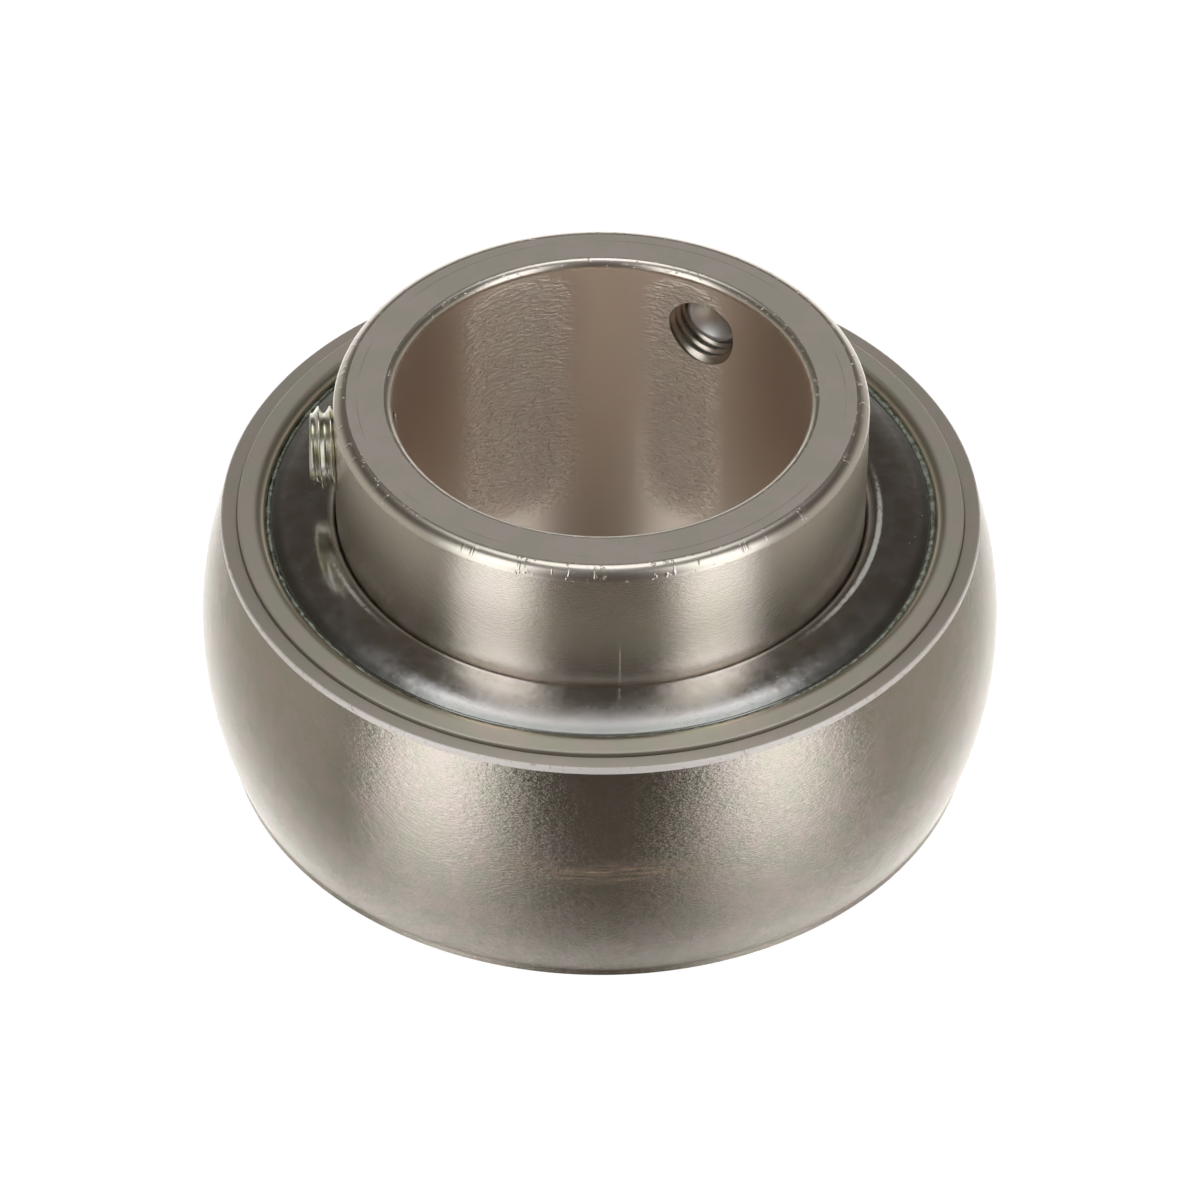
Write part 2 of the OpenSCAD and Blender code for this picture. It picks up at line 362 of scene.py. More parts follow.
def solid_from(name, verts, faces):
    """Closed mesh object in metres from points in millimetres: double points welded, open ends filled."""
    mesh = bpy.data.meshes.new(name)
    mesh.from_pydata([tuple(c * MM for c in v) for v in verts], [], faces)
    bm = bmesh.new()
    bm.from_mesh(mesh)
    bmesh.ops.remove_doubles(bm, verts=bm.verts, dist=1e-7)
    close_ends(bm)
    bmesh.ops.recalc_face_normals(bm, faces=bm.faces)
    bm.to_mesh(mesh)
    bm.free()
    return new_object(name, mesh)


def close_ends(bm):
    """Closes the open ends of a rod with fans to a point on its axis."""
    rims = [e for e in bm.edges if e.is_boundary]
    if not rims:
        return
    middle = sum(v.co.z for e in rims for v in e.verts) / len(rims) / 2
    for upper in (False, True):
        rim = [e for e in rims if (e.verts[0].co.z > middle) == upper]
        height = sum(e.verts[0].co.z for e in rim) / len(rim)
        tip = bm.verts.new((0, 0, height))
        for edge in rim:
            bm.faces.new((*edge.verts, tip))


def thread_turn(crest):
    """One turn of a 60-degree thread, as (share of the pitch, radius), with softened corners."""
    root = crest - thread_depth
    soft = 0.12 * thread_depth
    half = [(0.0, crest), (0.055, crest - 0.2 * soft), (0.085, crest - soft),
            (0.375, root + soft), (0.42, root + 0.25 * soft), (0.5, root)]
    return half + [(1 - share, radius) for share, radius in half[-2:0:-1]]


def threaded_rod(name, crest, start, length):
    """Rod along Z with a right-hand thread; each row of points climbs one pitch per turn."""
    segments = ROD_SEGMENTS
    turn = thread_turn(crest)
    turns = math.ceil(length / screw_pitch) + 1
    rows = [((t + share) * screw_pitch, radius) for t in range(turns) for share, radius in turn]
    verts = []
    for height, radius in rows:
        for k in range(segments + 1):
            angle = TURN * k / segments
            climb = screw_pitch * (k / segments - 1)
            verts.append((radius * math.cos(angle), radius * math.sin(angle), start + height + climb))
    width = segments + 1
    faces = [(low, low + 1, low + width + 1, low + width)
             for row in range(len(rows) - 1)
             for low in range(row * width, row * width + segments)]
    return solid_from(name, verts, faces)


def combine(piece, tool, operation):
    """Cuts or trims a piece with a tool, then throws the tool away."""
    modifier = piece.modifiers.new("cut", "BOOLEAN")
    modifier.object = tool
    modifier.operation = operation
    modifier.solver = "EXACT"
    result = bpy.data.meshes.new_from_object(piece.evaluated_get(bpy.context.evaluated_depsgraph_get()))
    piece.modifiers.clear()
    piece.data = result
    bpy.data.objects.remove(tool)


def tie(piece, body, nodes):
    """Ties a piece to its body and hides the CAD nodes that it stands for."""
    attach(piece, body)
    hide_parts(*nodes)


class Graph:
    """A material's node tree, with short calls for the nodes used here. Lengths are in millimetres.
    """

    def __init__(self, name, color, roughness, metallic=1.0):
        self.material = bpy.data.materials.new(name)
        self.material.use_nodes = True
        self.tree = self.material.node_tree
        self.shader = self.tree.nodes["Principled BSDF"]
        self.shader.inputs["Base Color"].default_value = (*color, 1)
        self.shader.inputs["Metallic"].default_value = metallic
        self.shader.inputs["Roughness"].default_value = roughness
        coordinates = self.node("ShaderNodeTexCoord").outputs["Object"]
        self.place = self.vector("MULTIPLY", coordinates, (1 / MM,) * 3)
        self.x, self.y, self.z = self.node("ShaderNodeSeparateXYZ", self.place).outputs

    def node(self, kind, *values, **settings):
        """New node with its settings, and its first inputs fed in order."""
        made = self.tree.nodes.new(kind)
        for key, value in settings.items():
            setattr(made, key, value)
        for socket, value in zip(made.inputs, values):
            self.feed(socket, value)
        return made

    def feed(self, socket, value):
        """Links a socket to another, or sets its value; None leaves it alone."""
        if isinstance(value, bpy.types.NodeSocket):
            self.tree.links.new(value, socket)
        elif value is not None:
            socket.default_value = value

    def vector(self, operation, *values):
        return self.node("ShaderNodeVectorMath", *values, operation=operation).outputs[0]

    def math(self, operation, *values):
        return self.node("ShaderNodeMath", *values, operation=operation).outputs[0]

    def radius(self):
        """Distance from the bearing axis."""
        squares = [self.math("POWER", side, 2.0) for side in (self.x, self.y)]
        return self.math("SQRT", self.math("ADD", *squares))

    def angle(self):
        """Degrees round the axis, to the right of the front."""
        front = self.math("MULTIPLY", self.y, -1.0)
        return self.math("MULTIPLY", self.math("ARCTAN2", self.x, front), 180 / math.pi)

    def near(self, value, centre, reach):
        """1 at the centre, falling softly to 0 at a distance of reach."""
        away = self.math("ABSOLUTE", self.math("SUBTRACT", value, centre))
        return self.step(away, reach, 0.0)

    def all_of(self, *shares):
        """Product of masks."""
        both = shares[0]
        for share in shares[1:]:
            both = self.math("MULTIPLY", both, share)
        return both

    def around(self, reach, along):
        """Texture space round the axis; more reach gives shorter streaks, and more along thinner ones."""
        radius = self.radius()
        height = self.math("MULTIPLY", self.math("ADD", self.z, radius), along)
        x = self.math("MULTIPLY", self.math("DIVIDE", self.x, radius), reach)
        y = self.math("MULTIPLY", self.math("DIVIDE", self.y, radius), reach)
        return self.node("ShaderNodeCombineXYZ", x, y, height).outputs[0]

    def noise(self, place, scale=1.0, detail=2.0, roughness=0.5):
        """Noise from 0 to 1 over a place, which is a vector socket."""
        made = self.node("ShaderNodeTexNoise", place)
        made.inputs["Scale"].default_value = scale
        made.inputs["Detail"].default_value = detail
        made.inputs["Roughness"].default_value = roughness
        return made.outputs["Fac"]

    def step(self, value, low, high, first=0.0, last=1.0):
        """Soft step from first to last while value goes from low to high."""
        return self.node("ShaderNodeMapRange", value, low, high, first, last,
                         interpolation_type="SMOOTHSTEP").outputs[0]

    def mix(self, share, first, last):
        """Colour between first and last, each a colour or a socket."""
        made = self.node("ShaderNodeMix", data_type="RGBA")
        self.feed(made.inputs[0], share)
        self.feed(made.inputs[6], first if isinstance(first, bpy.types.NodeSocket) else (*first, 1))
        self.feed(made.inputs[7], last if isinstance(last, bpy.types.NodeSocket) else (*last, 1))
        return made.outputs[2]

    def bump(self, height, depth, before=None):
        """Relief of the given depth in millimetres."""
        made = self.node("ShaderNodeBump")
        made.inputs["Strength"].default_value = 1.0
        made.inputs["Distance"].default_value = depth * MM
        self.feed(made.inputs["Height"], height)
        self.feed(made.inputs["Normal"], before)
        return made.outputs[0]

    def brushed(self, amount):
        """Grinding lines round the axis, which smear reflections along it."""
        self.shader.inputs["Anisotropic"].default_value = amount
        self.shader.inputs["Anisotropic Rotation"].default_value = 0.25
        tangent = self.node("ShaderNodeTangent", direction_type="RADIAL", axis="Z")
        self.feed(self.shader.inputs["Tangent"], tangent.outputs[0])

    def finish(self, color=None, roughness=None, normal=None):
        """Wires what is given into the shader, and gives the finished material."""
        self.feed(self.shader.inputs["Base Color"], color)
        self.feed(self.shader.inputs["Roughness"], roughness)
        self.feed(self.shader.inputs["Normal"], normal)
        return self.material


# Colours are linear. Ground steel has two tints, and so has its brighter copy, which is painted light: a lighter
# colour that stands in for the brighter reflections on the cylinder and the rounded edges.
STEEL = (0.60, 0.545, 0.50)
STEEL_OLIVE = (0.57, 0.54, 0.46)
STEEL_ROSE = (0.615, 0.545, 0.495)
PAINTED_LIGHT_OLIVE = (0.81, 0.765, 0.67)
PAINTED_LIGHT_ROSE = (0.85, 0.775, 0.715)


def tinted_steel(graph, spread=0.4, olive=STEEL_OLIVE, rose=STEEL_ROSE):
    """Faint olive and rose clouds, as on steel handled after grinding."""
    clouds = graph.noise(graph.place, spread, 5.0, 0.7)
    return graph.mix(graph.step(clouds, 0.42, 0.6), olive, rose)


def speckle(graph, reach, along, depth):
    """Short grinding marks round the axis, as relief."""
    marks = graph.noise(graph.around(reach, along), 1.0, 3.0, 0.7)
    return graph.bump(graph.step(marks, 0.3, 0.7), depth)


def outside_steel():
    """Ground sphere: short level marks, soft clouds and a rust-brown smudge low at the front."""
    graph = Graph("ground_outside", STEEL, 0.26)
    graph.brushed(0.85)
    color = tinted_steel(graph)
    smear = graph.noise(graph.around(9.0, 4.5), 1.0, 5.0, 0.75)
    level = graph.near(graph.z, rust_z, rust_half_height)
    front = graph.near(graph.angle(), rust_angle, rust_reach)
    rust = graph.all_of(level, front, graph.step(smear, 0.42, 0.64), 0.75)
    color = graph.mix(rust, color, (0.68, 0.43, 0.22))
    graph.feed(graph.shader.inputs["Metallic"], graph.math("MULTIPLY_ADD", rust, -0.4, 1.0))
    return graph.finish(color, None, speckle(graph, 55.0, 10.0, 0.014))


def cylinder_steel():
    """Ground cylinder with one upright scratch at the front, which fades out towards its top."""
    graph = Graph("ground_cylinder", STEEL, 0.25)
    graph.brushed(0.85)
    # Painted light: the brighter steel copy stands in for the stronger reflections on the cylinder.
    color = tinted_steel(graph, 0.3, PAINTED_LIGHT_OLIVE, PAINTED_LIGHT_ROSE)
    front = graph.step(graph.y, 0.0, -1.0)
    foot = graph.step(graph.z, scratch_foot, scratch_foot + 0.4)
    top = graph.step(graph.z, scratch_top, scratch_top - 2.4)
    scratch = graph.all_of(graph.near(graph.x, scratch_x, scratch_half_width), front, foot, top)
    color = graph.mix(scratch, color, (0.95, 0.92, 0.88))
    return graph.finish(color, None, graph.bump(scratch, 0.01, speckle(graph, 40.0, 8.0, 0.007)))


def edge_steel():
    """Rounded edge, with small nicks, in the brighter steel copy that is painted light."""
    graph = Graph("edge_steel", STEEL, 0.28)
    nicks = graph.step(graph.noise(graph.around(38.0, 2.5), 1.0, 2.0), 0.6, 0.72)
    return graph.finish(tinted_steel(graph, 0.3, PAINTED_LIGHT_OLIVE, PAINTED_LIGHT_ROSE), None, graph.bump(nicks, 0.02))


def band_steel():
    """Satin band at the ring's upper edge, nicked by handling."""
    graph = Graph("band_steel", (0.82, 0.77, 0.74), 0.58, metallic=0.8)
    nicks = graph.noise(graph.around(50.0, 2.0), 1.0, 3.0, 0.7)
    color = graph.mix(graph.step(nicks, 0.3, 0.45), (0.7, 0.65, 0.61), (0.97, 0.92, 0.89))
    return graph.finish(color, None, graph.bump(nicks, 0.03))


def face_steel():
    """Satin end face of the outer ring, with faint rings."""
    graph = Graph("face_steel", STEEL, 0.6)
    graph.brushed(0.35)
    rings = graph.noise(graph.around(2.0, 9.0), 1.0, 2.0)
    color = tinted_steel(graph, 0.3, (0.66, 0.635, 0.555), (0.71, 0.64, 0.585))
    return graph.finish(color, None, graph.bump(rings, 0.006))


def turned_steel():
    """Turned end face: fine rings, and a hairline left by the tool."""
    graph = Graph("turned_steel", STEEL, 0.64)
    rings = graph.noise(graph.around(1.5, 8.0), 1.0, 2.0)
    color = tinted_steel(graph, 0.3, (0.70, 0.67, 0.59), (0.75, 0.68, 0.63))
    patchy = graph.step(graph.noise(graph.around(2.0, 0.2), 1.0, 2.0), 0.45, 0.6)
    line_of_tool = graph.near(graph.radius(), hairline_r, hairline_half_width)
    hairline = graph.all_of(line_of_tool, patchy, 0.45)
    color = graph.mix(hairline, color, (0.2, 0.17, 0.15))
    return graph.finish(color, None, graph.bump(rings, 0.004))


def bore_steel():
    """Honed bore, brown with oil; two stretches near the top are dimpled with short level dents. Its sides are
    painted darker than its back, as shade.
    """
    graph = Graph("honed_bore", STEEL, 0.48)
    graph.brushed(0.6)
    angle = graph.angle()
    foot = graph.step(graph.z, dents_foot, dents_foot + 7.0)
    rise = graph.all_of(foot, graph.step(graph.z, dents_top, dents_top - 3.0))
    left = graph.all_of(graph.near(angle, left_dents_angle, left_dents_reach), rise)
    right = graph.all_of(graph.near(angle, right_dents_angle, right_dents_reach), rise)
    dented = graph.math("MINIMUM", graph.math("MULTIPLY", graph.math("MAXIMUM", left, right), 1.8), 1.0)
    dents = graph.step(graph.noise(graph.around(22.0, 3.7), 1.0, 2.5, 0.6), 0.3, 0.7)
    fine = graph.noise(graph.around(30.0, 4.0), 1.0, 2.0, 0.6)
    color = tinted_steel(graph, 0.25, (0.88, 0.79, 0.68), (0.90, 0.775, 0.68))
    # Painted shade: the bore turns darker from its back towards its sides.
    painted_shade_flank = graph.step(graph.math("ABSOLUTE", angle), 152.0, 118.0)
    color = graph.mix(painted_shade_flank, color, (0.64, 0.54, 0.46))
    relief = graph.bump(graph.math("MULTIPLY", dented, dents), dent_depth, graph.bump(fine, 0.006))
    return graph.finish(color, None, relief)


def thread_steel():
    """Cut thread in the tapped holes."""
    graph = Graph("thread_steel", STEEL, 0.25)
    return graph.finish(tinted_steel(graph, 0.6))


def raceway_steel():
    """Lapped raceway, hidden by the seals."""
    graph = Graph("raceway_steel", (0.62, 0.6, 0.58), 0.12)
    return graph.finish(tinted_steel(graph))


def retainer_steel():
    """Pressed ring: its rolled edge is more olive than its flat and painted darker, as shade on the roll, and its
    seam at the outer ring is painted dark, as shade in the step between the parts.
    """
    graph = Graph("retainer_sheet", (0.7, 0.68, 0.6), 0.58)
    graph.brushed(0.25)
    flat = graph.step(graph.radius(), retainer_in_r + 0.55, retainer_in_r + 1.05)
    # Painted shade: the rolled edge's colours are darker than the flat's.
    rolled_painted_shade = tinted_steel(graph, 0.3, (0.50, 0.48, 0.38), (0.53, 0.47, 0.39))
    level = tinted_steel(graph, 0.3, (0.69, 0.685, 0.585), (0.745, 0.675, 0.605))
    # Painted shade: a dark line where the retainer meets the outer ring.
    seam_painted_shade = graph.step(graph.radius(), counterbore_r - 0.07, counterbore_r - 0.02)
    color = graph.mix(seam_painted_shade, graph.mix(flat, rolled_painted_shade, level), (0.34, 0.31, 0.26))
    rings = graph.noise(graph.around(3.0, 6.0), 1.0, 2.0)
    roughness = graph.math("MULTIPLY_ADD", flat, 0.22, 0.36)
    return graph.finish(color, roughness, graph.bump(rings, 0.004))


def flinger_steel():
    """Polished plate, worn at the front and dirty at the rim, with specks, and a painted highlight: a whitish arc
    on both sides that stands in for a reflection.
    """
    graph = Graph("flinger_plate", (0.64, 0.63, 0.62), 0.13)
    angle = graph.angle()
    # Painted highlight: a whitish arc at highlight_arc_r, on both sides of the plate, stands in for a reflection.
    right = graph.near(angle, 74.0, 34.0)
    left = graph.math("MULTIPLY", graph.near(angle, -62.0, 16.0), 0.4)
    patches = graph.step(graph.noise(graph.around(50.0, 6.0), 1.0, 3.0, 0.7), 0.25, 0.55)
    sides = graph.math("MAXIMUM", right, left)
    edge = graph.near(graph.radius(), highlight_arc_r, 0.3)
    painted_highlight_arc = graph.math("MINIMUM", graph.math("MULTIPLY", graph.all_of(edge, sides, patches), 1.6), 1.0)
    specks = graph.step(graph.noise(graph.place, 2.6, 3.0, 0.8), 0.72, 0.77)
    specks_and_painted_highlight = graph.math("MAXIMUM", painted_highlight_arc, specks)
    clouds = graph.noise(graph.place, 0.6, 3.0, 0.6)
    color = graph.mix(graph.step(clouds, 0.35, 0.65), (0.60, 0.58, 0.56), (0.66, 0.65, 0.65))
    near_rim = graph.step(graph.radius(), rim_clean_r, rim_dirty_r)
    dirty_rim = graph.math("MULTIPLY", near_rim, 0.7)
    color = graph.mix(dirty_rim, color, (0.3, 0.32, 0.3))
    # Whitish colour of the dust specks and of the painted highlight arc.
    color = graph.mix(specks_and_painted_highlight, color, (0.92, 0.92, 0.88))
    outside_flat = graph.step(graph.radius(), dish_flat_r - 0.4, dish_flat_r + 2.1)
    worn = graph.all_of(graph.near(angle, 0.0, 40.0), outside_flat, 0.2)
    polish = graph.math("ADD", worn, graph.step(clouds, 0.35, 0.7, 0.12, 0.17))
    roughness = graph.math("MULTIPLY_ADD", specks_and_painted_highlight, 0.5, polish)
    graph.feed(graph.shader.inputs["Metallic"], graph.math("SUBTRACT", 1.0, specks_and_painted_highlight))
    scratches = graph.noise(graph.around(70.0, 12.0), 1.0, 3.0, 0.7)
    waves = graph.noise(graph.place, 0.5, 2.0)
    normal = graph.bump(graph.step(scratches, 0.55, 0.75), 0.003, graph.bump(waves, 0.015))
    return graph.finish(color, roughness, normal)


def grease():
    """Greenish grease that has picked up dust."""
    graph = Graph("old_grease", (0.45, 0.5, 0.42), 0.45, metallic=0.0)
    lumps = graph.noise(graph.place, 2.2, 4.0, 0.65)
    color = graph.mix(graph.step(lumps, 0.35, 0.65), (0.16, 0.165, 0.12), (0.55, 0.62, 0.54))
    return graph.finish(color, graph.step(lumps, 0.3, 0.7, 0.3, 0.55), graph.bump(lumps, 0.08))


def screw_steel():
    """Plated screw: a matt cup point, and bright threads with a little oil."""
    graph = Graph("screw_plating", (0.62, 0.6, 0.55), 0.24)
    threads = graph.step(graph.radius(), cup_zone_r, thread_zone_r)
    oily = tinted_steel(graph, 0.8, (0.74, 0.73, 0.58), (0.80, 0.79, 0.77))
    color = graph.mix(threads, (0.86, 0.89, 0.91), oily)
    return graph.finish(color, graph.math("MULTIPLY_ADD", threads, -0.16, 0.4))


def ball_steel():
    """Mirror finish with a slight haze."""
    graph = Graph("lapped_ball", (0.76, 0.76, 0.77), 0.06)
    haze = graph.noise(graph.place, 1.2, 3.0)
    return graph.finish(None, graph.step(haze, 0.3, 0.7, 0.04, 0.09))


def cage_steel():
    """Pressed sheet, uneven in gloss."""
    graph = Graph("cage_sheet", (0.58, 0.56, 0.52), 0.35)
    clouds = graph.noise(graph.place, 0.8, 4.0, 0.6)
    return graph.finish(None, graph.step(clouds, 0.3, 0.7, 0.28, 0.45), graph.bump(clouds, 0.02))


def rivet_steel():
    """Headed wire with small dents."""
    graph = Graph("rivet_head", (0.55, 0.53, 0.50), 0.3)
    dents = graph.noise(graph.place, 3.0, 3.0)
    return graph.finish(None, None, graph.bump(dents, 0.02))


def seal_rubber():
    """Matt black nitrile."""
    graph = Graph("nitrile", (0.028, 0.028, 0.03), 0.6, metallic=0.0)
    skin = graph.noise(graph.place, 6.0, 4.0, 0.6)
    return graph.finish(None, graph.step(skin, 0.3, 0.7, 0.5, 0.7), graph.bump(skin, 0.01))


def make_outer_ring():
    """Turned ring; the counterbores that the retainers fill share the end faces' steel."""
    plain = face_steel()
    looks = {
        "ground": outside_steel(),
        "band": band_steel(),
        "face": plain,
        "hidden": plain,
        "raceway": raceway_steel(),
    }
    outline = outer_ring_outline()
    piece = turned_solid("outer_ring_turned", outline, looks)
    exact_normals(piece, outline, looks)
    tie(piece, "outer", ["outer_ring"])


def screw_axis(body):
    """Direction in which a set screw backs out."""
    joint = next(j for j in frame["joints"] if j["child"] == body)
    return Vector(joint["axis"]).normalized()


def screw_reach(node):
    """Distances from the bearing axis to a set screw's tip and to its outer end."""
    axis = screw_axis(SCREWS[node])
    along = [vertex.co.dot(axis) / MM for vertex in frame["nodes"][node].data.vertices]
    return min(along), max(along)


def on_screw_axis(piece, node):
    """Moves a piece made along Z, with the screw's tip at the origin, to its place in the ring."""
    low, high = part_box(node)
    axis = screw_axis(SCREWS[node])
    turn = Matrix.Rotation(math.atan2(axis.y, axis.x), 4, "Z") @ Matrix.Rotation(TURN / 4, 4, "Y")
    place = axis * (screw_reach(node)[0] * MM) + Vector((0, 0, (low.z + high.z) / 2))
    piece.data.transform(Matrix.Translation(place) @ turn)


def tapped_hole(node, index):
    """The threaded tool that cuts a screw's hole, in phase with the screw."""
    past_bore, past_outside = 2, 1.5
    tip, _ = screw_reach(node)
    start = -math.ceil((tip - bore_r + past_bore) / screw_pitch) * screw_pitch
    length = inner_r - tip - start + past_outside
    tool = threaded_rod("tap", screw_r + tap_gap, start, length)
    for face in tool.data.polygons:
        face.material_index = index
    on_screw_axis(tool, node)
    return tool


def make_inner_ring():
    """Turned ring with its two tapped holes cut through the wall."""
    looks = {
        "ground": cylinder_steel(),
        "edge": edge_steel(),
        "turned": turned_steel(),
        "bore": bore_steel(),
        "raceway": raceway_steel(),
        "thread": thread_steel(),
    }
    outline = inner_ring_outline()
    piece = turned_solid("inner_ring_turned", outline, looks)
    for node in SCREWS:
        combine(piece, tapped_hole(node, list(looks).index("thread")), "DIFFERENCE")
    exact_normals(piece, outline, looks)
    tie(piece, "inner", ["inner_ring"])


def screw_blank(length):
    """Outline solid of a set screw: cup point at the origin, chamfers at both ends."""
    end_chamfer = 0.6 * screw_pitch
    tip_chamfer = 0.75 * (screw_r - cup_r)
    return rod("screw_blank", [
        (0, cup_depth), (cup_r - 0.05, 0.04), (cup_r + 0.03, 0), (screw_r - tip_chamfer, 0),
        (screw_r, tip_chamfer), (screw_r, length - end_chamfer), (screw_r - end_chamfer, length),
        (0, length)], ROD_SEGMENTS)


def hex_socket(length):
    """Tool that cuts the hexagon socket in a set screw's outer end."""
    hex_corner = socket_af / 2 / math.cos(TURN / 12)
    floor = length - socket_depth
    over = length + 1
    return rod("hex_tool", [(0, floor - 0.4), (hex_corner, floor), (hex_corner, over), (0, over)], 6)


def make_set_screw(node, material):
    """Threaded rod trimmed to the blank, with its socket cut, in place in its hole."""
    tip, end = screw_reach(node)
    length = end - tip
    overrun = 2 * screw_pitch
    piece = threaded_rod(node + "_threaded", screw_r - 0.01, -overrun, length + 2 * overrun)
    piece.data.materials.append(material)
    combine(piece, screw_blank(length), "INTERSECT")
    combine(piece, hex_socket(length), "DIFFERENCE")
    on_screw_axis(piece, node)
    piece.data.set_sharp_from_angle(angle=math.radians(SHARP_EDGE))
    tie(piece, SCREWS[node], [node])


def make_pair(name, outline, body, node, looks):
    """The same turned ring on both sides of the ball row."""
    for side, strips in (("upper", outline), ("lower", mirrored(outline))):
        piece = turned_solid(f"{name}_{side}", strips, looks)
        exact_normals(piece, strips, looks)
        tie(piece, body, [f"{node}_{side}"])


def bead_size(turn):
    """Radius of the grease bead's section: thicker in lumps, and at the right of the bearing."""
    way = Vector((math.cos(turn), math.sin(turn), 0))
    broad = noise.noise(way * 2.1 + Vector((3.0, 0, 0)))
    fine = noise.fractal(way * 22.0, 0.8, 2.0, 3)
    right = 0.5 + 0.5 * math.cos(turn - math.radians(10))
    return bead_width * (0.55 + 0.35 * right + 0.35 * broad + 0.3 * fine)


def make_grease_bead():
    """Uneven bead that fills the gap between the flinger's rim and the seal retainer."""
    around, across = 720, 12
    verts = []
    for k in range(around):
        turn = TURN * k / around
        size = max(0.35 * bead_width, bead_size(turn))
        for j in range(across):
            roll = TURN * j / across
            radius = bead_r + 0.85 * size * math.cos(roll)
            height = dish_rim - bead_drop + size * math.sin(roll)
            verts.append((radius * math.cos(turn), radius * math.sin(turn), height))
    faces = []
    for k in range(around):
        for j in range(across):
            low, high = k * across, (k + 1) % around * across
            side = (j + 1) % across
            faces.append((low + j, high + j, high + side, low + side))
    piece = solid_from("grease_bead", verts, faces)
    piece.data.shade_smooth()
    piece.data.materials.append(grease())
    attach(piece, "outer")


def dress_inner_parts():
    """Materials for the CAD parts that the seals hide."""
    looks = {"ball_steel": ball_steel(), "cage_steel": cage_steel(),
             "rivet_steel": rivet_steel(), "seal_rubber": seal_rubber()}
    for part in frame["record"]["subparts"]:
        if part["material_slot"] in looks:
            mesh = frame["nodes"][part["node"]].data
            mesh.materials.clear()
            mesh.materials.append(looks[part["material_slot"]])


def studio_camera():
    """Camera above and in front, aimed just over the bearing's centre, with a slight roll.

    The distance is in metres, and the tilt and roll are in radians.
    """
    distance = 0.48087
    elevation = math.radians(42.158)
    tilt = 0.00181
    roll = 0.00739
    data = bpy.data.cameras.new("camera")
    data.lens = 184.39
    data.sensor_width = 36
    camera = new_object("camera", data)
    outward = Vector((0, -math.cos(elevation), math.sin(elevation)))
    upright = Vector((0, math.sin(elevation), math.cos(elevation)))
    back = outward * math.cos(tilt) - upright * math.sin(tilt)
    up = upright * math.cos(tilt) + outward * math.sin(tilt)
    side = Vector((1, 0, 0)) * math.cos(roll) + up * math.sin(roll)
    up = up * math.cos(roll) - Vector((1, 0, 0)) * math.sin(roll)
    turn = Matrix((side, up, back)).transposed().to_4x4()
    camera.matrix_world = Matrix.Translation(outward * distance) @ turn
    bpy.context.scene.camera = camera


class Sky(Graph):
    """The world's node tree: light that depends only on its direction."""

    def __init__(self):
        world = bpy.data.worlds.new("studio")
        world.use_nodes = True
        bpy.context.scene.world = world
        self.tree = world.node_tree
        self.tree.nodes.clear()
        self.way = self.node("ShaderNodeTexCoord").outputs["Generated"]
        self.x, self.y, self.z = self.node("ShaderNodeSeparateXYZ", self.way).outputs

    def side(self, centre):
        """Degrees to either side of a direction, itself in degrees to the right of the front."""
        return self.math("ABSOLUTE", self.math("SUBTRACT", self.angle(), centre))

    def height(self):
        """Degrees above the horizon."""
        return self.math("MULTIPLY", self.math("ARCSINE", self.z), 180 / math.pi)

    def between(self, value, low, high, soft):
        """1 while value is from low to high, with soft edges."""
        rise = self.step(value, low - soft, low + soft)
        return self.math("MULTIPLY", rise, self.step(value, high + soft, high - soft))

    def cone(self, way, inner, outer):
        """1 inside a cone about a direction, 0 outside it, with a soft edge; angles in degrees."""
        axis = Vector(way).normalized()
        made = self.node("ShaderNodeVectorMath", self.way, tuple(axis), operation="DOT_PRODUCT")
        return self.step(made.outputs["Value"], math.cos(math.radians(outer)), math.cos(math.radians(inner)))

    def layer(self, below, mask, color, strength):
        """Lays light of one colour over what is below it."""
        return self.mix(mask, below, tuple(strength * c for c in color))


NEUTRAL = (1.0, 1.0, 1.0)
WARM = (1.0, 0.955, 0.87)


def room_light(sky, angle, height):
    """Dim room, darker above the table, with paler walls to the sides and a paler ceiling."""
    light = sky.mix(sky.step(height, -32.0, 0.0), (0.115, 0.099, 0.083), (0.068, 0.058, 0.047))
    sides = sky.step(angle, 60.0, 80.0)
    walls = sky.all_of(sides, sky.step(height, 40.0, -5.0), sky.step(height, -52.0, -38.0))
    light = sky.layer(light, walls, WARM, 0.43)
    return sky.layer(light, sky.step(height, 48.0, 74.0), NEUTRAL, 0.26)


def soft_boxes(sky, light, angle, height):
    """A tall box to each side of the front, and its glow on the table, which fades downwards."""
    boxes = sky.between(angle, 30.0, 62.0, 5.0)
    on_table = sky.math("MULTIPLY", boxes, sky.step(height, 0.0, -8.0))
    glow = sky.mix(sky.step(height, -31.0, -61.0), (1.5, 1.5, 1.5), (0.17, 0.155, 0.14))
    light = sky.mix(on_table, light, glow)
    above = sky.math("MULTIPLY", boxes, sky.between(height, -2.0, 54.0, 4.0))
    return sky.layer(light, above, NEUTRAL, 1.7)


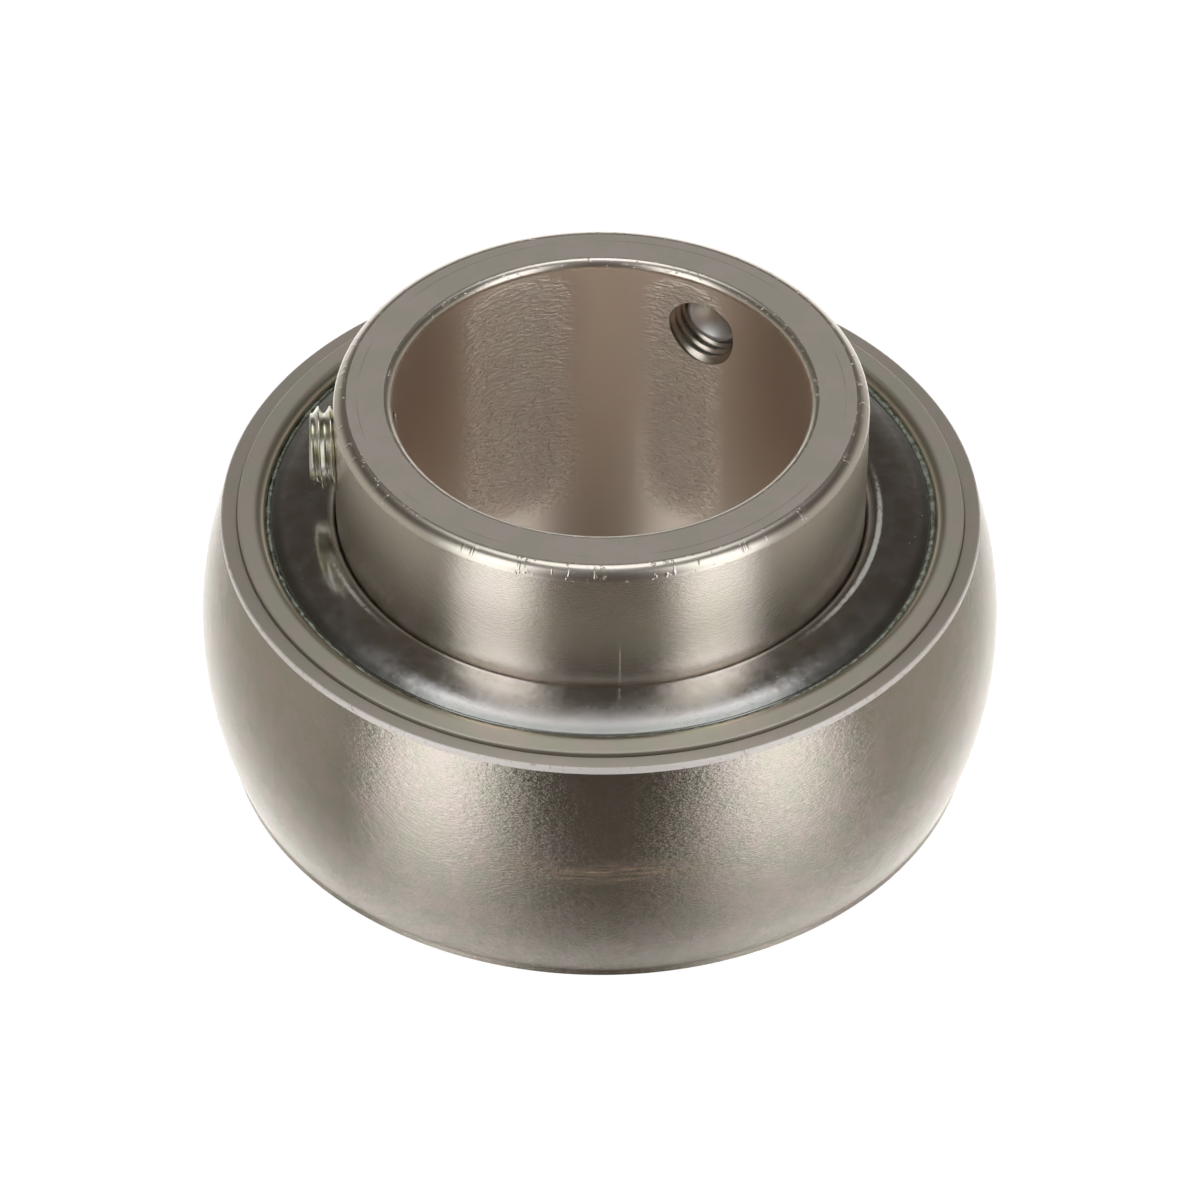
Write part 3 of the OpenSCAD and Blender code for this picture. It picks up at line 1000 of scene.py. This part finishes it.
def white_backdrop(sky, light, height):
    """White wall behind the bearing, and white table top behind its foot."""
    rear = sky.step(sky.side(0.0), 140.0, 160.0)
    wall = sky.all_of(rear, sky.step(height, 22.0, 8.0), sky.step(height, -60.0, -40.0))
    light = sky.layer(light, wall, NEUTRAL, 1.1)
    return sky.layer(light, sky.cone((0, 0.55, -0.835), 24, 41), NEUTRAL, 1.85)


def studio_world():
    """Everything round the bearing that lights it; the camera itself sees plain white there."""
    boxes_centre = 2.6
    sky = Sky()
    angle = sky.side(boxes_centre)
    height = sky.height()
    light = room_light(sky, angle, height)
    light = sky.layer(light, sky.cone((0, 0.24, 0.97), 15.5, 19.5), NEUTRAL, 1.5)
    light = soft_boxes(sky, light, angle, height)
    light = white_backdrop(sky, light, height)
    seen = sky.node("ShaderNodeLightPath").outputs["Is Camera Ray"]
    light = sky.mix(seen, light, NEUTRAL)
    background = sky.node("ShaderNodeBackground", light)
    output = sky.node("ShaderNodeOutputWorld")
    sky.tree.links.new(background.outputs[0], output.inputs[0])


def studio_floor():
    """Pale table top just under the bearing, 6 m wide, lit from within so that it stays white."""
    reach = 3.0
    gap = 0.05
    mesh = bpy.data.meshes.new("table")
    height = (inner_bottom - gap) * MM
    square = ((-1, -1), (1, -1), (1, 1), (-1, 1))
    mesh.from_pydata([(reach * x, reach * y, height) for x, y in square], [], [(0, 1, 2, 3)])
    floor = new_object("table", mesh)
    material = bpy.data.materials.new("table_white")
    material.use_nodes = True
    shader = material.node_tree.nodes["Principled BSDF"]
    shader.inputs["Base Color"].default_value = (0.3, 0.3, 0.3, 1)
    shader.inputs["Roughness"].default_value = 1.0
    shader.inputs["Specular IOR Level"].default_value = 0.0
    shader.inputs["Emission Color"].default_value = (1, 1, 1, 1)
    shader.inputs["Emission Strength"].default_value = 0.93
    mesh.materials.append(material)
    floor.visible_glossy = False


studio_camera()
studio_world()
studio_floor()
make_outer_ring()
make_inner_ring()
make_pair("seal_retainer_pressed", retainer_outline(), "outer", "seal_retainer",
          {"sheet": retainer_steel()})
make_pair("flinger_pressed", flinger_outline(), "inner", "flinger",
          {"plate": flinger_steel()})
screw_material = screw_steel()
for screw in SCREWS:
    make_set_screw(screw, screw_material)
make_grease_bead()
dress_inner_parts()
bpy.context.scene.view_settings.view_transform = "Standard"
